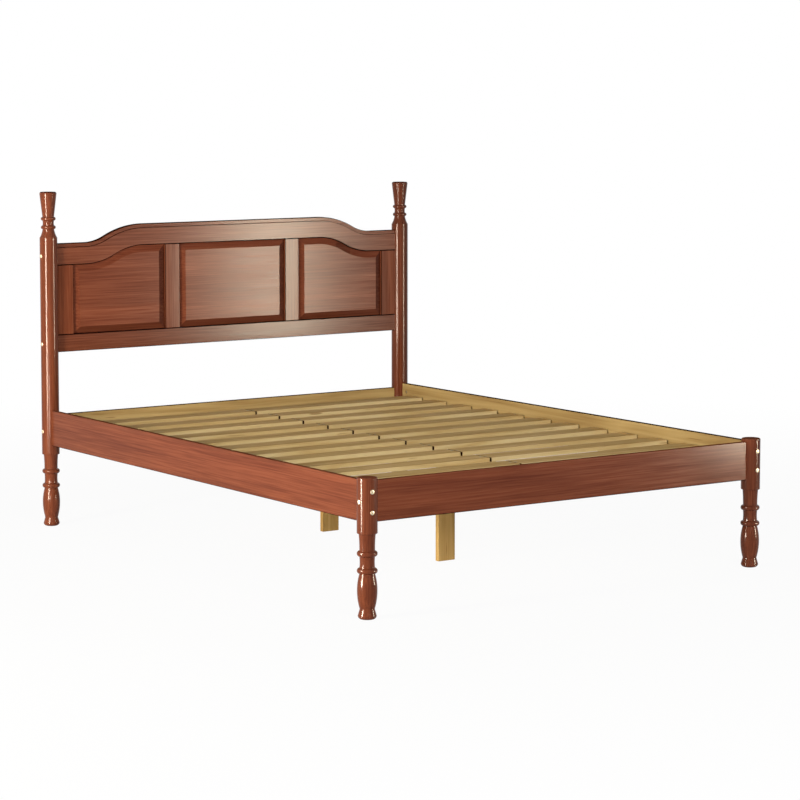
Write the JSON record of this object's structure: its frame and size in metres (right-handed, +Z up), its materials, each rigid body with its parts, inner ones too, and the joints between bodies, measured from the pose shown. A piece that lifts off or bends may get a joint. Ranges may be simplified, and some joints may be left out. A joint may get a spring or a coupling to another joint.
{
  "type": "platform bed",
  "caption": "Queen platform bed with turned posts, raised-panel headboard with ogee shoulders, flat bolted rails and a deck of half slats on a centre beam.",
  "frame": {"origin": "on the floor under the middle of the bed", "axes": "+Y towards the headboard, +X towards the right side seen from the foot, +Z up"},
  "size_m": [1.612, 2.137, 1.219],
  "materials": {
    "stained_wood": "red-brown stain under satin lacquer",
    "pine": "unstained pine, planed",
    "bolt_metal": "satin nickel plate",
    "zinc": "zinc plate"
  },
  "bodies": {
    "root": {"headboard_post_left": "stained_wood", "headboard_post_right": "stained_wood", "foot_post_left": "stained_wood", "foot_post_right": "stained_wood", "side_rail_left": "stained_wood", "side_rail_right": "stained_wood", "foot_rail": "stained_wood", "head_rail": "stained_wood", "headboard_top_rail": "stained_wood", "headboard_bottom_rail": "stained_wood", "headboard_end_stile_left": "stained_wood", "headboard_end_stile_right": "stained_wood", "headboard_mid_stile_left": "stained_wood", "headboard_mid_stile_right": "stained_wood", "headboard_panel_left": "stained_wood", "headboard_panel_centre": "stained_wood", "headboard_panel_right": "stained_wood", "side_ledger_left": "pine", "side_ledger_right": "pine", "centre_beam": "pine", "beam_cradle_head": "pine", "beam_cradle_foot": "pine", "centre_leg_front": "pine", "centre_leg_rear": "pine", "slat_left_01": "pine", "slat_left_02": "pine", "slat_left_03": "pine", "slat_left_04": "pine", "slat_left_05": "pine", "slat_left_06": "pine", "slat_left_07": "pine", "slat_left_08": "pine", "slat_left_09": "pine", "slat_left_10": "pine", "slat_left_11": "pine", "slat_left_12": "pine", "slat_right_01": "pine", "slat_right_02": "pine", "slat_right_03": "pine", "slat_right_04": "pine", "slat_right_05": "pine", "slat_right_06": "pine", "slat_right_07": "pine", "slat_right_08": "pine", "slat_right_09": "pine", "slat_right_10": "pine", "slat_right_11": "pine", "slat_right_12": "pine", "side_rail_bolts": "bolt_metal", "cross_rail_bolts": "bolt_metal", "headboard_bolts": "bolt_metal", "rail_barrel_nuts": "zinc", "headboard_barrel_nuts": "zinc", "leg_brackets": "zinc", "slat_screws": "zinc", "ledger_screws": "zinc", "cradle_screws": "zinc", "leg_bracket_screws": "zinc"}
  },
  "joints": []
}
